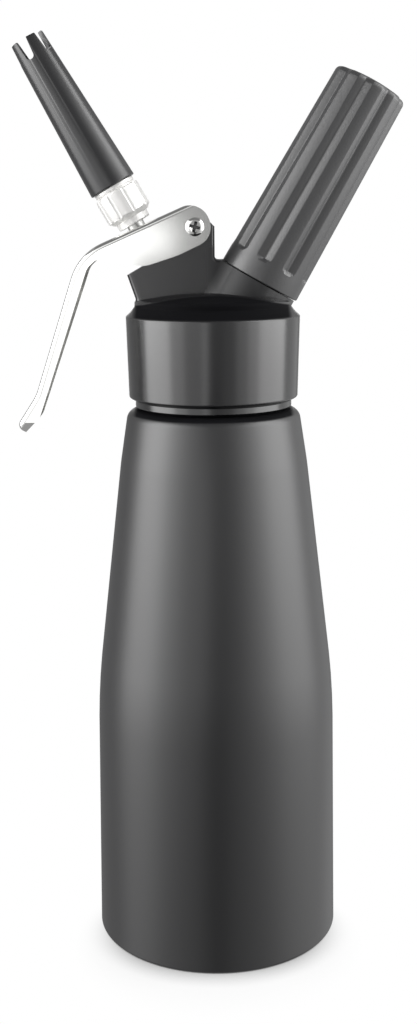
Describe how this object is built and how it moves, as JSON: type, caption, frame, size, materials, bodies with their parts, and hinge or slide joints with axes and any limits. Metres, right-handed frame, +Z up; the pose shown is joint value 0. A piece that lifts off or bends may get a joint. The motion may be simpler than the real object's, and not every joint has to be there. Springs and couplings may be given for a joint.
{
  "type": "whipped cream dispenser",
  "caption": "Tall round bottle with a screw-on head, squeeze lever, tilted toothed nozzle and grooved gas charger holder, for whipping and dispensing cream.",
  "frame": {"origin": "centre of the bottle's base, on the plane it stands on", "axes": "+Z up along the bottle's axis, -X towards the nozzle and the lever, +X towards the charger holder, -Y the front with the pivot screw's head"},
  "size_m": [0.1551, 0.0926, 0.3521],
  "materials": {
    "body_coat": "satin black coat",
    "head_coat": "semi-gloss black coat",
    "lever_steel": "polished stainless",
    "plated_metal": "bright plated",
    "screw_steel": "polished",
    "spring_steel": "drawn wire",
    "valve_metal": "turned",
    "nozzle_plastic": "semi-gloss moulded",
    "holder_plastic": "fine grained",
    "seal_rubber": "smooth",
    "charger_steel": "zinc plated"
  },
  "bodies": {
    "bottle": {"bottle": "body_coat"},
    "head_seal": {"head_gasket": "seal_rubber"},
    "head": {"head_body": "head_coat", "valve_guide": "valve_metal", "guide_set_screw": "screw_steel", "valve_spring": "spring_steel", "pivot_screw": "screw_steel", "pivot_nut": "screw_steel", "pivot_bush": "valve_metal", "charger_inlet": "plated_metal", "inlet_washer": "seal_rubber", "piercing_pin": "valve_metal", "pin_gasket": "seal_rubber", "check_disc": "seal_rubber", "check_spring": "spring_steel", "check_plug": "valve_metal"},
    "lever": {"lever": "lever_steel"},
    "valve": {"valve_stem": "valve_metal", "stem_o_rings": "seal_rubber", "foot_seal": "seal_rubber", "foot_nut": "valve_metal", "nozzle_adapter": "plated_metal"},
    "nozzle_seal": {"nozzle_seal": "seal_rubber"},
    "nozzle": {"nozzle": "nozzle_plastic"},
    "gas_charger": {"gas_charger": "charger_steel", "charger_cap": "charger_steel"},
    "charger_holder": {"charger_holder": "holder_plastic"}
  },
  "joints": [
    {"name": "head_lift", "type": "slide", "parent": "bottle", "child": "head_seal", "axis": [0, 0, 1], "range_m": [0, 0.0201]},
    {"name": "head_turn", "type": "hinge", "parent": "head_seal", "child": "head", "pos_m": [0, 0, 0.2403], "axis": [0, 0, 1], "range_deg": [0, 1800]},
    {"name": "lever_squeeze", "type": "hinge", "parent": "head", "child": "lever", "pos_m": [-0.0068, 0, 0.2738], "axis": [0, -1, 0], "range_deg": [0, 12], "stiffness_Nm_per_rad": 0.8, "springref_deg": -17.19},
    {"name": "valve_travel", "type": "slide", "parent": "head", "child": "valve", "axis": [0.5, 0, -0.866], "range_m": [0, 0.0043], "deforming": ["valve_spring"]},
    {"name": "nozzle_advance", "type": "slide", "parent": "valve", "child": "nozzle_seal", "axis": [-0.5, 0, 0.866], "range_m": [0, 0.0092]},
    {"name": "nozzle_turn", "type": "hinge", "parent": "nozzle_seal", "child": "nozzle", "pos_m": [-0.0392, 0, 0.29009], "axis": [-0.5, 0, 0.866], "range_deg": [0, 2160]},
    {"name": "charger_advance", "type": "slide", "parent": "head", "child": "gas_charger", "axis": [0.5, 0, 0.866], "range_m": [0, 0.0123]},
    {"name": "holder_turn", "type": "hinge", "parent": "gas_charger", "child": "charger_holder", "pos_m": [0.0186, 0, 0.25222], "axis": [0.5, 0, 0.866], "range_deg": [0, 2160]}
  ],
  "couplings": [
    {"joint": "head_lift", "follows": "head_turn", "m_per_rad": 0.00063662},
    {"joint": "valve_travel", "follows": "lever_squeeze", "m_per_rad": 0.02},
    {"joint": "nozzle_advance", "follows": "nozzle_turn", "m_per_rad": 0.00023873},
    {"joint": "charger_advance", "follows": "holder_turn", "m_per_rad": 0.00031831}
  ]
}
